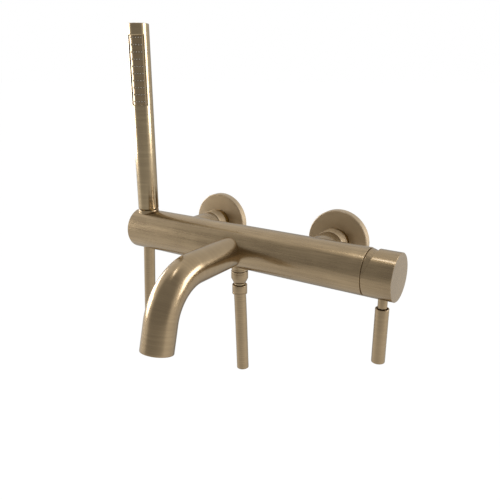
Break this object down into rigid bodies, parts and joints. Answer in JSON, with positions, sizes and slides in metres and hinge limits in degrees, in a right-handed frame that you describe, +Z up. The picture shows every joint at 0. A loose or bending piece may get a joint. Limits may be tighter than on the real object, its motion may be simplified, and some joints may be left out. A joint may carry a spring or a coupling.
{
  "type": "wall mounted bath faucet",
  "caption": "Exposed wall bath and shower mixer: round body, bent tube spout, lever handle on the end, stick hand shower standing in the body, hose stubs.",
  "frame": {"origin": "midway between the two wall threads, in the plane of the wall", "axes": "+Y into the wall, +Z up, +X to the right as seen from the room"},
  "size_m": [0.3017, 0.2306, 0.3492],
  "materials": {
    "brushed_bronze": "brushed, bronze coloured, satin",
    "plain_brass": "machined, bare",
    "rubber_seal": "matte black",
    "ceramic_disc": "lapped ceramic",
    "moulded_plastic": "moulded, light grey",
    "stainless_steel": "turned, bright",
    "hose_cover": "smooth, bronze coloured, satin"
  },
  "bodies": {
    "mixer": {"valve_body": "brushed_bronze", "union_left": "plain_brass", "union_right": "plain_brass", "flange_left": "brushed_bronze", "flange_right": "brushed_bronze", "union_nut_left": "brushed_bronze", "union_nut_right": "brushed_bronze", "inlet_tail_left": "plain_brass", "inlet_tail_right": "plain_brass", "inlet_seal_left": "rubber_seal", "inlet_seal_right": "rubber_seal", "base_seals": "rubber_seal", "cartridge_base": "moulded_plastic", "fixed_disc": "ceramic_disc", "cartridge_housing": "moulded_plastic", "clamp_ring": "plain_brass", "bonnet": "brushed_bronze", "spout_nipple": "plain_brass", "spout_seal": "rubber_seal", "spout_tube": "brushed_bronze", "aerator_seal": "rubber_seal", "aerator_insert": "moulded_plastic", "aerator_shell": "brushed_bronze", "diverter_sleeve": "moulded_plastic", "diverter_gland": "plain_brass", "diverter_spring": "stainless_steel", "outlet_nipple": "brushed_bronze", "outlet_nut": "brushed_bronze", "outlet_seal": "rubber_seal", "holder_collar": "brushed_bronze", "guide_bush": "moulded_plastic"},
    "rotor": {"cartridge_rotor": "moulded_plastic", "stem_pin": "stainless_steel"},
    "handle": {"cartridge_stem": "stainless_steel", "handle_cap": "brushed_bronze", "cap_screw": "stainless_steel", "lever_neck": "brushed_bronze", "lever_stick": "brushed_bronze"},
    "disc": {"moving_disc": "ceramic_disc", "disc_carrier": "moulded_plastic"},
    "diverter": {"diverter_stem": "plain_brass", "diverter_seals": "rubber_seal", "diverter_button": "brushed_bronze"},
    "outlet_swivel": {"outlet_tail": "brushed_bronze", "outlet_ferrule": "brushed_bronze", "outlet_hose": "hose_cover"},
    "shower_hose": {"handset_hose": "hose_cover"},
    "hand_shower": {"hose_cone": "brushed_bronze", "cone_seal": "rubber_seal", "handset_tail": "plain_brass", "handset_tube": "brushed_bronze", "handset_core": "moulded_plastic", "spray_plate": "brushed_bronze", "nozzle_mat": "rubber_seal"}
  },
  "joints": [
    {"name": "handle_turn", "type": "hinge", "parent": "mixer", "child": "rotor", "pos_m": [0.1324, -0.0762, 0.012], "axis": [1, 0, 0], "range_deg": [-50, 50]},
    {"name": "handle_lift", "type": "hinge", "parent": "rotor", "child": "handle", "pos_m": [0.1324, -0.0762, 0.012], "axis": [0, -1, 0], "range_deg": [0, 17]},
    {"name": "disc_slide", "type": "slide", "parent": "rotor", "child": "disc", "axis": [0, 0, -1], "range_m": [0, 0.00344]},
    {"name": "diverter_press", "type": "slide", "parent": "mixer", "child": "diverter", "axis": [0, -1, 0], "range_m": [0, 0.005], "stiffness_N_per_m": 300, "springref_m": -0.004, "deforming": ["diverter_spring"]},
    {"name": "outlet_swivel", "type": "hinge", "parent": "mixer", "child": "outlet_swivel", "pos_m": [0, -0.0762, -0.024], "axis": [0, 0, 1], "continuous": true},
    {"name": "shower_lift", "type": "slide", "parent": "mixer", "child": "shower_hose", "axis": [0.0599, 0, 0.9982], "range_m": [0, 0.1]},
    {"name": "shower_turn", "type": "hinge", "parent": "shower_hose", "child": "hand_shower", "pos_m": [-0.1222, -0.0762, 0.0345], "axis": [0, 0, 1], "continuous": true}
  ],
  "couplings": [
    {"joint": "disc_slide", "follows": "handle_lift", "m_per_rad": 0.011529}
  ]
}
